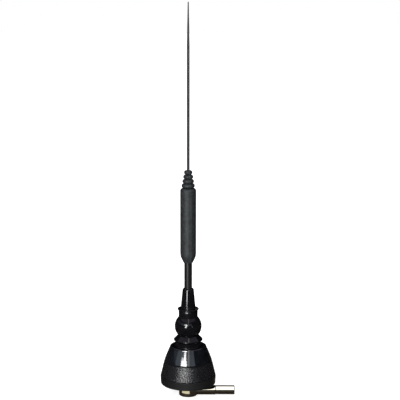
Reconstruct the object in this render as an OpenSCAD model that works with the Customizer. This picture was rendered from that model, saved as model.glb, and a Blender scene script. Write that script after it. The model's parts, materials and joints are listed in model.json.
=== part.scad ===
// Dual-band roof antenna. A tapered whip stands on a loading coil in a moulded cover, a lower rod
// and a ball that tilts and turns in a collar on a sealed two-part base. A right-angle coaxial
// connector turns under the roof. Millimetres, +Z up, origin on the underside of the roof gasket.

/* [Roof gasket] */
// Outside diameter of the gasket at the top of its band
gasket_d = 45.2; // [45:0.1:52]
// How much smaller the gasket is at its foot, on the diameter
gasket_taper = 0.6; // [0:0.1:3]
// Height of the band that wraps the foot of the skirt
gasket_h = 6.5; // [6:0.1:8.5]
// Thickness of the pad under the skirt
pad_t = 2.6; // [2:0.1:3]
// Thickness of the band around the skirt's foot
band_wall = 2; // [1.5:0.1:2.6]
// Width of each sealing groove in the underside
seal_groove_w = 1.1; // [0.6:0.1:1.6]
// Depth of each sealing groove
seal_groove_depth = 0.6; // [0.3:0.1:1.2]

/* [Base skirt] */
// Height of the skirt from the gasket band to the seam
skirt_h = 12.5; // [12:0.1:16]
// Diameter of the skirt at the seam
skirt_top_d = 39.2; // [39:0.1:43]
// How far the skirt stands back from the gasket band, on the radius
skirt_inset = 0.2; // [0:0.05:0.5]
// Wall of the skirt
skirt_wall = 2.2; // [1.8:0.1:2.6]
// Thickness of the skirt's floor
skirt_floor = 3.3; // [3:0.1:3.6]
// Wall of the hub around the connector's neck
hub_wall = 2.5; // [2:0.1:3]
// Width and depth of the groove at the seam
seam_w = 0.9; // [0.5:0.1:1.2]

/* [Base cone] */
// Height of the glossy cone from the seam to its rim
cone_h = 12.8; // [12:0.1:15]
// Outside diameter of the rim
cone_rim_d = 29.7; // [28.8:0.1:32]
// Inside diameter of the mouth
cone_mouth_d = 25.5; // [24.5:0.1:26.2]
// Wall of the cone
cone_wall = 2.2; // [1.8:0.1:2.6]
// Depth of the well inside the rim
well_depth = 4.2; // [3.5:0.1:5]
// Thickness of the floor under the well
well_floor = 2.4; // [2:0.1:2.8]
// Depth of the ring that plugs into the skirt
plug_ring_h = 3.6; // [3.2:0.1:4.2]
// Diameter of a screw boss
boss_d = 5.8; // [5.2:0.1:6]
// Thread diameter of the screws that hold the cone to the skirt
screw_d = 3; // [2.5:0.1:3.2]
// Length of those screws under the head
screw_len = 10; // [8:0.5:14]

/* [Feed insert] */
// Diameter of the insert's flange, which carries the swivel collar
insert_flange_d = 18.3; // [17.5:0.1:18.8]
// Thickness of the flange
insert_flange_t = 2.5; // [2:0.1:3]
// Diameter of the insert's core
insert_core_d = 9; // [8:0.1:9.5]
// Whole height of the insert
insert_h = 10.5; // [10:0.1:11.5]
// Depth of the socket that takes the swivel collar's spigot
socket_depth = 3.5; // [3.3:0.1:4]
// Thickness of the slip washer under the swivel collar
slip_t = 0.8; // [0.5:0.1:1]

/* [Swivel collar] */
// Height of the lip's top above the rim of the cone
collar_rise = 5.8; // [5.8:0.1:8]
// Diameter of the collar's straight body
collar_d = 21; // [19.8:0.1:21.2]
// Diameter of the upper lip
collar_lip_d = 23.4; // [22:0.1:23.6]
// Diameter of the lower bead
collar_bead_d = 21.9; // [20.8:0.1:22]
// Rise of the sloping shoulder from the lip to the cup
shoulder_h = 3.1; // [2.5:0.1:3.6]
// Diameter of the cup at its rim
cup_rim_d = 16.2; // [15:0.1:17.4]

/* [Ball] */
// Diameter of the ball
ball_d = 21.8; // [21:0.1:22]
// Diameter of the hollow inside the ball
cavity_d = 13; // [12.6:0.1:13.4]
// Largest tilt of the mast from the vertical, in degrees
tilt = 15; // [8:1:15]
// Diameter of the tension bolt
bolt_d = 4; // [3.6:0.1:4.1]
// Diameter of the tension bolt's head
bolt_head_d = 7; // [6.4:0.1:7.4]
// Height of the tension bolt's head
bolt_head_h = 4; // [3.2:0.1:4.2]
// Across flats of the socket in the tension bolt
bolt_key = 3; // [2.5:0.5:3.5]

/* [Cap collar] */
// Diameter of the cap collar where it sits on the ball
cap_rim_d = 15.4; // [14.8:0.1:15.8]
// Height of the cap collar from the ball to the top of its lip
cap_h = 7.1; // [7:0.1:9]
// Diameter of the lip
cap_lip_d = 17.2; // [15.4:0.1:17.4]
// Depth of the dish in which the mast foot stands
dish_depth = 0.7; // [0.4:0.1:1]
// Thread diameter of the mast stud
stud_d = 6; // [5:0.5:6]

/* [Mast foot and rod] */
// Height of the mast foot
foot_h = 17.3; // [16:0.1:22]
// Diameter of the mast foot at the bottom
foot_bottom_d = 11.9; // [10.6:0.1:12]
// Diameter of the mast foot at the top
foot_top_d = 9; // [8.4:0.1:9.8]
// Diameter of the small flange at the bottom of the mast foot
foot_flange_d = 12.4; // [11.6:0.1:12.6]
// Diameter of the lower rod
rod_d = 6.3; // [5.6:0.1:6.5]
// Bare length of the lower rod
rod_len = 21.4; // [15:0.1:40]

/* [Coil cover] */
// Diameter of the coil cover
cover_d = 12.7; // [12.2:0.1:14]
// Height of the plain part of the cover
cover_h = 61; // [56:0.5:80]
// Number of ribs above the plain part
rib_count = 4; // [3:1:5]
// Distance from one rib to the next
rib_pitch = 3.55; // [3.4:0.05:4.2]
// Diameter of the top rib
rib_top_d = 6.6; // [6:0.1:6.8]
// How much each rib is larger than the one above, on the diameter
rib_growth = 1.3; // [1.2:0.05:1.5]

/* [Coil] */
// Diameter of the wire of the loading coil
wire_d = 1.2; // [0.8:0.1:1.2]
// Number of turns of the loading coil
coil_turns = 10; // [6:1:14]
// Diameter of the coil former
former_d = 6.4; // [6:0.1:6.6]
// Diameter of the flanges on the two ferrules
ferrule_d = 9; // [8.8:0.1:9.1]

/* [Whip] */
// Diameter of the whip
whip_d = 2.2; // [1.6:0.1:2.2]
// Diameter at the tip
tip_d = 0.8; // [0.6:0.1:1.2]
// Length of the whip above its cover
whip_len = 132; // [60:1:200]
// Length of the taper at the top of the whip
taper_len = 34; // [10:1:40]

/* [Connector] */
// Thread diameter of the neck that passes through the roof
neck_d = 12; // [11.5:0.1:12.4]
// Bore of the neck
neck_bore_d = 7.2; // [6.8:0.1:7.4]
// Diameter of the connector's upright body
elbow_d = 15; // [14.8:0.1:17]
// Room that the connector leaves under the gasket for the roof
roof_room = 3.1; // [2.1:0.1:4]
// Height of the upright body
elbow_h = 7.3; // [7.2:0.1:8.5]
// Diameter of the arm
arm_d = 7.9; // [7.8:0.1:8.2]
// Reach of the arm from the axis to its shoulder
arm_reach = 22.5; // [16:0.5:30]
// Outside diameter of the cable sleeve
sleeve_d = 7.4; // [7.2:0.1:7.7]
// Bore of the cable sleeve, for a 5 mm coaxial cable
sleeve_bore_d = 5.5; // [5.2:0.1:5.8]
// Length of the cable sleeve
sleeve_len = 15.5; // [14.5:0.5:20]
// Diameter of the sleeve's mouth, which clears the cable's jacket
mouth_bore_d = 6.2; // [5.9:0.1:6.4]
// Depth of the mouth
mouth_bore_depth = 4; // [3:0.1:4]
// Diameter of the centre contact
contact_d = 2.6; // [2.4:0.1:2.8]
// Thickness of the insulating disc under the feed insert
disc_t = 1.9; // [1.6:0.1:2.2]

/* [Hidden] */
$fn = 96;

// Clearances, on the radius or along the axis
fit = 0.05;
slide_fit = 0.08;
thread_fit = 0.04;
part_gap = 0.3;
eps = 0.01;

// Heights, from the roof up
seam_z = gasket_h + skirt_h;
rim_z = seam_z + cone_h;
well_z = rim_z - well_depth;
seat_z = well_z - socket_depth;
insert_z = seat_z - insert_h;
insert_nose = 1.2;
core_z = insert_z + insert_nose;
neck_top_z = insert_z - disc_t - 2 * fit;
collar_z = seat_z + slip_t;
lip_z = rim_z + collar_rise;
cup_rim_z = lip_z + shoulder_h;
floor_z = pad_t + skirt_floor;

// Radii of the base
neck_r = neck_d / 2;
hub_r = neck_r + hub_wall;
gasket_r = gasket_d / 2;
skirt_r = gasket_r - skirt_inset;
skirt_top_r = skirt_top_d / 2;
foot_r = gasket_r - band_wall - fit;
plug_bore_r = skirt_top_r - skirt_wall - fit;
plug_r = plug_bore_r - fit;
plug_z = seam_z - plug_ring_h;
rim_r = cone_rim_d / 2;
mouth_r = cone_mouth_d / 2;
rim_round = (rim_r - mouth_r) / 2;
flange_r = insert_flange_d / 2;
socket_r = flange_r + fit;
core_wall = 2.2;
core_r = socket_r + core_wall;
boss_r = (hub_r + plug_bore_r) / 2;
boss_angles = [30, 150, 270];
screw_head_r = screw_d - 0.1;
screw_head_h = 2;
screw_seat_z = pad_t + screw_head_h + 0.2;
seal_d = 1.3;
seal_ledge = 0.8;
seal_room = 0.15;

// The ball, its cup and its tension bolt
ball_r = ball_d / 2;
cup_r = ball_r + fit;
ball_z = cup_rim_z + sqrt(pow(cup_r, 2) - pow(cup_rim_d / 2, 2));
cavity_r = cavity_d / 2;
bolt_r = bolt_d / 2;
bolt_room = 0.25;
throat_angle = asin((bolt_r + bolt_room) / ball_r) + tilt;
throat_r = ball_r * sin(throat_angle);
throat_z = -ball_r * cos(throat_angle);
inner_angle = asin((bolt_r + bolt_room) / cavity_r) + tilt;
inner_r = cavity_r * sin(inner_angle);
inner_z = -cavity_r * cos(inner_angle);
throat_slope = (throat_r - inner_r) / (inner_z - throat_z);
washer_r = cavity_r - fit;
washer_lap = 9;
washer_angle = inner_angle + tilt + washer_lap;
washer_top = -washer_r * cos(washer_angle);
spring_h = 1.1;
spring_t = 0.5;
head_z = washer_top + spring_h;
plug_gap = 1.6;
plug_bottom = head_z + bolt_head_h + plug_gap;
plug_sink = 0.1;
plug_top = sqrt(pow(ball_r, 2) - pow(cavity_r, 2)) - plug_sink;

// The mast
cap_seat_r = ball_r + fit;
cap_rim_z = ball_z + sqrt(pow(cap_seat_r, 2) - pow(cap_rim_d / 2, 2));
cap_z = cap_rim_z + cap_h;
foot_z = cap_z - dish_depth;
foot_top_z = foot_z + foot_h;
stud_reach = 9;
rod_grip = 6.4;
rod_r = rod_d / 2;
cover_z = foot_top_z + rod_len;
cover_r = cover_d / 2;
cover_foot = 5.4;
shoulder_z = cover_z + cover_h;
cover_top_z = shoulder_z + rib_count * rib_pitch;

// The coil assembly inside the cover
ferrule_r = ferrule_d / 2;
ferrule_z = cover_z + cover_foot;
ferrule_cup = 3;
ferrule_h = 6.5;
former_z = ferrule_z + ferrule_h;
ferrule_drop = 11.8;
former_top_z = shoulder_z - ferrule_drop;
flange_t = 2;
pin_r = 1.4;
pin_len = 2.5;
tube_r = 2.4;
tube_drop = 0.8;
tube_top_z = shoulder_z - tube_drop;
whip_r = whip_d / 2;
whip_seat = 1.5;
whip_z = former_top_z + flange_t + whip_seat;
wire_r = wire_d / 2;
coil_r = former_d / 2 + fit + wire_r;
coil_room = 0.1;
coil_z = former_z + wire_r + coil_room;
coil_top_z = former_top_z - wire_r - coil_room;

// The connector under the roof
neck_bore_r = neck_bore_d / 2;
journal_step = 0.8;
journal_r = neck_r - journal_step;
elbow_r = elbow_d / 2;
elbow_top_z = -roof_room;
elbow_z = elbow_top_z - elbow_h;
arm_r = arm_d / 2;
arm_lift = 0.15;
arm_z = elbow_z + arm_r + arm_lift;
journal_z = elbow_top_z - 2;
ring_z = elbow_top_z - 1.4;
neck_foot_z = elbow_top_z + part_gap;
ring_t = 0.8;
ring_in = 0.45;
ring_out = 0.55;
chamber_r = 3.6;
cap_t = 1.3;
cap_r = 5.4;
dielectric_r = 1.5;
spigot_wall = 0.45;
spigot_len = 10.5;
sleeve_r = sleeve_d / 2;
sleeve_bore_r = sleeve_bore_d / 2;
sleeve_grip = 3;
contact_r = contact_d / 2;
socket_bore_r = 0.85;
contact_drop = 2;
contact_top_z = neck_top_z - contact_drop;
contact_socket = 5;
plunger_tail = 2;
spring_wire_r = 0.14;
spring_turns = 9;
plunger_head_r = 1.5;
plunger_head_h = 1.4;
insulator_r = neck_bore_r - slide_fit;

// Solid of revolution with a rounded foot and a rounded top edge
module rounded_post(r, h, r_foot, r_top) {
    rotate_extrude() {
        translate([0, r_foot]) square([r, h - r_foot - r_top]);
        square([r - r_foot, h / 2]);
        translate([0, h / 2]) square([r - r_top, h / 2]);
        translate([r - r_foot, r_foot]) circle(r_foot);
        translate([r - r_top, h - r_top]) circle(r_top);
    }
}

// Round bead of radius a, with its centre line on radius r
module bead(r, a) {
    rotate_extrude() translate([r, 0]) circle(a);
}

// Flat ring
module ring(r_out, r_in, h) {
    difference() {
        cylinder(r = r_out, h = h);
        translate([0, 0, -1]) cylinder(r = r_in, h = h + 2);
    }
}

// Groove for a sealing ring in a spigot of radius r, above the spigot's end
module seal_groove(r) {
    translate([0, 0, seal_ledge]) ring(r + 1, r - seal_d, seal_d + 2 * seal_room);
}

// Sealing ring in that groove, out to radius r
module seal_in(r) {
    translate([0, 0, seal_ledge + seal_room + seal_d / 2]) bead(r - seal_d / 2, seal_d / 2);
}

// Copies around the screw bosses
module at_bosses() {
    for (a = boss_angles) rotate([0, 0, a]) translate([boss_r, 0, 0]) children();
}

// Wire wound on a cylinder, as a tube swept along the helix
module wound_wire(r, a, z0, z1, turns, steps, sides) {
    rings = turns * steps;
    pitch = (z1 - z0) / turns;
    lead = atan(pitch / (2 * PI * r));
    function place(i, j) =
        let (t = 360 * i / steps, s = 360 * j / sides,
             out = a * cos(s), up = a * sin(s))
        [(r + out) * cos(t) + up * sin(lead) * sin(t),
         (r + out) * sin(t) - up * sin(lead) * cos(t),
         z0 + pitch * i / steps + up * cos(lead)];
    points = [for (i = [0:rings], j = [0:sides - 1]) place(i, j)];
    walls = [for (i = [0:rings - 1], j = [0:sides - 1])
        let (k = (j + 1) % sides)
        [i * sides + j, (i + 1) * sides + j, (i + 1) * sides + k, i * sides + k]];
    first_end = [for (j = [0:sides - 1]) j];
    last_end = [for (j = [sides - 1:-1:0]) rings * sides + j];
    polyhedron(points, concat(walls, [first_end, last_end]), convexity = 10);
}

module roof_gasket() {
    foot = gasket_r - gasket_taper / 2;
    edge = 0.6;
    color("#2f2f31") difference() {
        rotate_extrude() difference() {
            polygon([[neck_r + part_gap, 0], [foot - edge, 0], [foot, edge],
                     [gasket_r, gasket_h], [gasket_r - band_wall, gasket_h],
                     [gasket_r - band_wall, pad_t], [neck_r + part_gap, pad_t]]);
            for (r = [hub_r + 4 : 3.5 : foot - 2.5])
                translate([r, -eps]) square([seal_groove_w, seal_groove_depth + eps]);
        }
    }
}

module base_skirt() {
    step = seam_w / 2;
    color("#2b2b2e") difference() {
        union() {
            rotate_extrude() difference() {
                polygon([[0, pad_t], [foot_r, pad_t], [foot_r, gasket_h], [skirt_r, gasket_h],
                         [skirt_top_r, seam_z - step], [skirt_top_r - seam_w, seam_z - step],
                         [skirt_top_r - seam_w, seam_z], [0, seam_z]]);
                polygon([[0, floor_z], [foot_r - skirt_wall, floor_z],
                         [foot_r - skirt_wall, gasket_h], [plug_bore_r, plug_z],
                         [plug_bore_r, seam_z + 1], [0, seam_z + 1]]);
            }
            translate([0, 0, pad_t]) cylinder(r = hub_r, h = core_z - part_gap - pad_t);
        }
        cylinder(r = neck_r + thread_fit, h = rim_z);
        at_bosses() {
            cylinder(r = screw_d / 2 + 0.2, h = floor_z + 1);
            cylinder(r = screw_head_r + 0.2, h = screw_seat_z);
        }
    }
}

module base_cone() {
    step = seam_w / 2;
    plug_wall = 2.2;
    under_z = well_z - well_floor;
    slope = (skirt_top_r - rim_r) / cone_h;
    wall_top = skirt_top_r - (under_z - seam_z) * slope - cone_wall;
    color("#17181b") difference() {
        union() {
            rotate_extrude() difference() {
                union() {
                    polygon([[0, seam_z + fit], [skirt_top_r - seam_w, seam_z + fit],
                             [skirt_top_r - seam_w, seam_z + step],
                             [skirt_top_r - step * slope, seam_z + step],
                             [rim_r, rim_z - rim_round], [0, rim_z - rim_round]]);
                    translate([rim_r - rim_round, rim_z - rim_round]) circle(rim_round);
                }
                polygon([[0, seam_z], [plug_bore_r - cone_wall, seam_z], [wall_top, under_z],
                         [0, under_z]]);
            }
            translate([0, 0, core_z]) cylinder(r = core_r, h = well_z - core_z);
            translate([0, 0, plug_z]) ring(plug_r, plug_r - plug_wall, seam_z + 1 - plug_z);
            at_bosses() translate([0, 0, floor_z + fit])
                cylinder(d = boss_d, h = under_z + 1 - floor_z);
        }
        translate([0, 0, well_z]) cylinder(r = mouth_r, h = well_depth + 1);
        translate([0, 0, seat_z - insert_flange_t]) cylinder(r = socket_r, h = cone_h);
        cylinder(r = insert_core_d / 2 + fit, h = rim_z);
        translate([0, 0, plug_z]) seal_groove(plug_r);
        at_bosses() cylinder(r = screw_d / 2 + thread_fit, h = screw_seat_z + screw_len + 1);
    }
}

module cone_screws() {
    socket_d = 2.3;
    socket_h = 1.2;
    color("#b9bbbd") at_bosses() translate([0, 0, screw_seat_z - fit]) difference() {
        union() {
            translate([0, 0, -screw_head_h]) cylinder(r = screw_head_r, h = screw_head_h);
            translate([0, 0, -eps]) cylinder(d = screw_d, h = screw_len);
        }
        translate([0, 0, -screw_head_h - 1]) cylinder(d = socket_d, h = socket_h + 1, $fn = 6);
    }
}

module seam_seal() {
    color("#202022") translate([0, 0, plug_z]) seal_in(plug_bore_r - fit / 2);
}

module feed_insert() {
    color("#b8923f") difference() {
        union() {
            translate([0, 0, insert_z]) cylinder(d = insert_core_d, h = insert_h);
            translate([0, 0, seat_z - insert_flange_t]) cylinder(r = flange_r, h = insert_flange_t);
        }
        translate([0, 0, insert_z + 2]) cylinder(r = bolt_r + thread_fit, h = insert_h);
    }
}

module slip_washer() {
    color("#e6e4dc") translate([0, 0, seat_z]) ring(flange_r - 0.4, bolt_r + part_gap, slip_t);
}

module swivel_collar() {
    spigot_r = socket_r - slide_fit;
    body_r = collar_d / 2;
    lip_r = collar_lip_d / 2;
    lip_round = 0.75;
    lip_drop = 2.2;
    bead_round = 0.8;
    bead_drop = 0.3;
    bevel = 0.4;
    cup_edge = 0.15;
    flange_z = well_z + part_gap;
    color("#121214") difference() {
        union() {
            translate([0, 0, collar_z]) cylinder(r = spigot_r, h = flange_z - collar_z + eps);
            rotate_extrude() {
                polygon([[0, flange_z], [body_r - bevel, flange_z], [body_r, flange_z + bevel],
                         [body_r, lip_z - lip_drop], [lip_r - lip_round, lip_z - lip_round],
                         [lip_r - lip_round * 0.42, lip_z - lip_round * 0.3],
                         [cup_rim_d / 2 + cup_edge, cup_rim_z], [0, cup_rim_z]]);
                translate([lip_r - lip_round, lip_z - lip_round]) circle(lip_round);
                translate([collar_bead_d / 2 - bead_round, rim_z - bead_drop]) circle(bead_round);
            }
        }
        translate([0, 0, ball_z]) sphere(r = cup_r);
        cylinder(r = bolt_r + slide_fit, h = ball_z);
        translate([0, 0, collar_z]) seal_groove(spigot_r);
    }
}

module swivel_seal() {
    color("#202022") translate([0, 0, collar_z]) seal_in(socket_r - fit);
}

module swivel_ball() {
    low = ball_r + 1;
    color("#101013") translate([0, 0, ball_z]) difference() {
        sphere(r = ball_r);
        sphere(r = cavity_r);
        cylinder(r = cavity_r, h = ball_r + 1);
        translate([0, 0, -low])
            cylinder(r1 = throat_r + (throat_z + low) * throat_slope,
                     r2 = inner_r - 1.2 * throat_slope, h = low + inner_z + 1.2);
    }
}

module tension_bolt() {
    tip_z = insert_z + 3;
    color("#c3c5c8") difference() {
        union() {
            translate([0, 0, tip_z]) cylinder(r = bolt_r, h = ball_z + head_z - tip_z + eps);
            translate([0, 0, ball_z + head_z]) cylinder(d = bolt_head_d, h = bolt_head_h);
        }
        translate([0, 0, ball_z + head_z + bolt_head_h - 2.2])
            cylinder(d = bolt_key / cos(30), h = 3, $fn = 6);
    }
}

module disc_spring() {
    inside = bolt_r + 0.15;
    outside = 4.9;
    color("#9a9c9f") translate([0, 0, ball_z + washer_top]) rotate_extrude()
        polygon([[inside, spring_h - spring_t - fit], [outside, fit],
                 [outside, spring_t + fit], [inside, spring_h - fit]]);
}

module ball_washer() {
    color("#a87f45") translate([0, 0, ball_z]) difference() {
        sphere(r = washer_r);
        translate([0, 0, washer_top]) cylinder(r = ball_r, h = ball_r);
        translate([0, 0, -ball_r]) cylinder(r = bolt_r + 0.1, h = ball_r);
    }
}

module stud_plug() {
    stud_top = foot_z + stud_reach;
    color("#b8923f") difference() {
        union() {
            translate([0, 0, ball_z + plug_bottom])
                cylinder(r = cavity_r - thread_fit, h = plug_top - plug_bottom);
            translate([0, 0, ball_z + plug_top - eps])
                cylinder(d = stud_d, h = stud_top - ball_z - plug_top);
        }
        translate([-stud_d, -0.6, stud_top - 1.2]) cube([2 * stud_d, 1.2, 3]);
    }
}

module cap_collar() {
    body_r = cap_rim_d / 2;
    lip_r = cap_lip_d / 2;
    lip_round = 0.5;
    bead_round = 0.7;
    bead_z = cap_z - 2.2;
    bead_proud = 0.12;
    neck_in = 0.35;
    dish_r = foot_flange_d / 2 + 0.35;
    color("#121214") difference() {
        rotate_extrude() {
            translate([0, cap_rim_z]) square([body_r, bead_z - cap_rim_z]);
            translate([0, bead_z]) square([body_r - neck_in, cap_z - 2 * lip_round - bead_z + eps]);
            translate([0, cap_z - 2 * lip_round]) square([lip_r - lip_round, 2 * lip_round]);
            translate([lip_r - lip_round, cap_z - lip_round]) circle(lip_round);
            translate([body_r - bead_round + bead_proud, bead_z]) circle(bead_round);
        }
        translate([0, 0, ball_z]) sphere(r = cap_seat_r);
        cylinder(r = cavity_r + 0.1, h = ball_z + plug_top + part_gap);
        cylinder(d = stud_d + 0.2, h = cap_z + 1);
        translate([0, 0, foot_z]) cylinder(r1 = dish_r, r2 = dish_r + dish_depth, h = dish_depth + eps);
    }
}

module mast_foot() {
    bottom_r = foot_bottom_d / 2;
    top_r = foot_top_d / 2;
    flange_h = 1.9;
    crown = 1.2;
    color("#101013") difference() {
        translate([0, 0, foot_z]) rotate_extrude() {
            square([foot_flange_d / 2 - 0.3, flange_h]);
            translate([0, 0.3]) square([foot_flange_d / 2, flange_h - 0.6]);
            polygon([[0, 0], [bottom_r, flange_h - eps], [top_r, foot_h - crown],
                     [0, foot_h - crown]]);
            translate([0, foot_h - crown - eps]) square([top_r - crown, crown + eps]);
            translate([top_r - crown, foot_h - crown]) circle(crown);
        }
        translate([0, 0, foot_z - 1])
            cylinder(r = stud_d / 2 + thread_fit, h = stud_reach + 1.6);
        translate([0, 0, foot_top_z - rod_grip]) cylinder(r = rod_r + fit, h = rod_grip + 1);
    }
}

module lower_rod() {
    color("#1c1c1e") translate([0, 0, foot_top_z - rod_grip + fit])
        cylinder(r = rod_r, h = ferrule_z + ferrule_cup - foot_top_z + rod_grip - 2 * fit);
}

module lower_ferrule() {
    color("#b8923f") difference() {
        union() {
            translate([0, 0, ferrule_z]) cylinder(r = ferrule_r, h = ferrule_h);
            translate([0, 0, former_z - eps]) cylinder(r = pin_r, h = pin_len);
        }
        translate([0, 0, ferrule_z - 1]) cylinder(r = rod_r + fit, h = ferrule_cup + 1);
    }
}

module coil_former() {
    color("#d8d6cc") difference() {
        translate([0, 0, former_z]) cylinder(d = former_d, h = former_top_z - former_z);
        translate([0, 0, former_z - 1]) cylinder(r = pin_r + fit, h = pin_len + 1.2);
        translate([0, 0, former_top_z - pin_len - 0.2]) cylinder(r = pin_r + fit, h = pin_len + 1);
    }
}

module loading_coil() {
    color("#b4713a") wound_wire(coil_r, wire_r, coil_z, coil_top_z, coil_turns, 20, 8);
}

module upper_ferrule() {
    color("#b8923f") difference() {
        union() {
            translate([0, 0, former_top_z]) cylinder(r = ferrule_r, h = flange_t);
            translate([0, 0, former_top_z - pin_len]) cylinder(r = pin_r, h = pin_len + eps);
            translate([0, 0, former_top_z]) cylinder(r = tube_r, h = tube_top_z - former_top_z);
        }
        translate([0, 0, whip_z]) cylinder(r = whip_r + fit, h = tube_top_z - whip_z + 1);
    }
}

module coil_cover() {
    crown = 2.4;
    foot_in = 0.6;
    foot_mid = [0.95, 3.4];
    foot_high = [0.2, 5.4];
    foot_top = 8;
    rib_round = 1.6;
    rib_gap = 0.2;
    groove_depth = 1.1;
    core_top_r = rib_top_d / 2 - groove_depth;
    core_low_r = core_top_r + rib_growth * rib_count / 4;
    color("#3a3d3f") difference() {
        union() {
            translate([0, 0, cover_z]) rotate_extrude() {
                polygon([[0, 0], [rod_r + foot_in, 0], [cover_r - foot_mid[0], foot_mid[1]],
                         [cover_r - foot_high[0], foot_high[1]], [cover_r, foot_top],
                         [cover_r, cover_h - crown], [0, cover_h - crown]]);
                translate([0, cover_h - crown - eps]) square([cover_r - crown, crown + eps]);
                translate([cover_r - crown, cover_h - crown]) circle(crown);
            }
            translate([0, 0, shoulder_z - 1])
                cylinder(r1 = core_low_r, r2 = core_top_r, h = rib_count * rib_pitch - 1);
            for (i = [0:rib_count - 1]) {
                rib_r = (rib_top_d + rib_growth * i) / 2;
                edge = min(rib_round, 0.48 * rib_r);
                low = cover_top_z - (i + 1) * rib_pitch + rib_gap / 2;
                translate([0, 0, low])
                    rounded_post(rib_r, rib_pitch - rib_gap, edge, edge);
            }
        }
        translate([0, 0, cover_z - 1]) cylinder(r = rod_r + fit, h = cover_foot + 2);
        translate([0, 0, ferrule_z - fit])
            cylinder(r = ferrule_r + fit, h = former_top_z + flange_t - ferrule_z + 2 * fit);
        cylinder(r = tube_r + fit, h = tube_top_z + fit);
        cylinder(r = whip_r + fit, h = cover_top_z + 1);
    }
}

module whip() {
    full_z = cover_top_z + whip_len - taper_len;
    tip_r = tip_d / 2;
    color("#1e1e20") {
        translate([0, 0, whip_z + fit]) cylinder(r = whip_r, h = full_z - whip_z - fit);
        translate([0, 0, full_z - eps]) cylinder(r1 = whip_r, r2 = tip_r, h = taper_len - tip_r + eps);
        translate([0, 0, full_z + taper_len - tip_r - eps]) sphere(r = tip_r);
    }
}

module connector_neck() {
    groove_r = journal_r - ring_in - fit;
    color("#c9cac6") difference() {
        union() {
            translate([0, 0, journal_z]) cylinder(r = journal_r, h = neck_foot_z - journal_z + eps);
            translate([0, 0, neck_foot_z]) cylinder(r = neck_r, h = neck_top_z - neck_foot_z);
        }
        translate([0, 0, journal_z - 1]) cylinder(r = neck_bore_r, h = neck_top_z - journal_z + 2);
        translate([0, 0, ring_z - fit]) ring(journal_r + 1, groove_r, ring_t + 2 * fit);
    }
}

module snap_ring() {
    color("#8d8f91") translate([0, 0, ring_z]) rotate([0, 0, 20]) rotate_extrude(angle = 320)
        translate([journal_r - ring_in, 0]) square([ring_in + ring_out, ring_t]);
}

module connector_body() {
    tip_r = dielectric_r + spigot_wall;
    grip_r = sleeve_bore_r - fit;
    edge = 0.7;
    color("#c9cac6") difference() {
        union() {
            translate([0, 0, elbow_z]) rounded_post(elbow_r, elbow_h, edge, edge);
            difference() {
                translate([0, 0, arm_z]) rotate([0, 90, 0]) cylinder(r = arm_r, h = arm_reach);
                translate([-1, -arm_d, elbow_top_z]) cube([arm_reach + 2, 2 * arm_d, arm_r]);
            }
            translate([0, 0, arm_z]) rotate([0, 90, 0]) {
                cylinder(r = grip_r, h = arm_reach + sleeve_grip);
                cylinder(r = tip_r, h = arm_reach + spigot_len);
            }
        }
        translate([0, 0, journal_z - fit]) cylinder(r = journal_r + slide_fit, h = elbow_h);
        translate([0, 0, ring_z - 0.1]) cylinder(r = journal_r + ring_out + 0.1, h = ring_t + 0.2);
        translate([0, 0, elbow_z + cap_t]) cylinder(r = chamber_r, h = journal_z - elbow_z);
        translate([0, 0, elbow_z - 1]) cylinder(r = cap_r + fit, h = cap_t + 1 + fit);
        translate([0, 0, arm_z]) rotate([0, 90, 0])
            cylinder(r = dielectric_r, h = arm_reach + spigot_len + 1);
    }
}

module connector_cap() {
    color("#c9cac6") difference() {
        translate([0, 0, elbow_z]) cylinder(r = cap_r, h = cap_t);
        translate([-cap_r / 2, -0.5, elbow_z - 1]) cube([cap_r, 1, 1.6]);
    }
}

module neck_insulator() {
    top_z = neck_top_z - 0.2;
    color("#f0eee8") difference() {
        translate([0, 0, journal_z + 0.1]) cylinder(r = insulator_r, h = top_z - journal_z - 0.1);
        translate([0, 0, journal_z - 1]) cylinder(r = contact_r + fit, h = top_z - journal_z + 2);
        translate([0, 0, contact_top_z + 0.3]) cylinder(r = plunger_head_r + 0.2, h = 4);
    }
}

module centre_contact() {
    low_z = arm_z - 1.1;
    color("#b8923f") difference() {
        union() {
            translate([0, 0, low_z]) cylinder(r = contact_r, h = contact_top_z - low_z);
            translate([0, 0, journal_z - 0.6]) cylinder(r = contact_r + 0.6, h = 0.6);
        }
        translate([0, 0, contact_top_z - contact_socket]) cylinder(r = socket_bore_r, h = contact_socket + 1);
        translate([-contact_r - 1, 0, arm_z]) rotate([0, 90, 0]) cylinder(r = 0.45, h = 3 * contact_r);
    }
}

module contact_spring() {
    color("#b9bbbd") wound_wire(socket_bore_r - fit - spring_wire_r, spring_wire_r,
                                contact_top_z - contact_socket + spring_wire_r + fit,
                                contact_top_z - plunger_tail - spring_wire_r - fit,
                                spring_turns, 12, 6);
}

module contact_plunger() {
    tail_z = contact_top_z - plunger_tail;
    head_top = insert_z - fit;
    head_low = head_top - plunger_head_h - disc_t;
    dome = 0.7;
    color("#cfa852") {
        translate([0, 0, tail_z]) cylinder(r = socket_bore_r - fit, h = head_low - tail_z + eps);
        translate([0, 0, head_low])
            rounded_post(plunger_head_r, head_top - head_low, 0.2, dome);
    }
}

module hub_insulator() {
    color("#f0eee8") translate([0, 0, neck_top_z + fit])
        ring(neck_r - fit, plunger_head_r + part_gap, disc_t);
}

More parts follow.
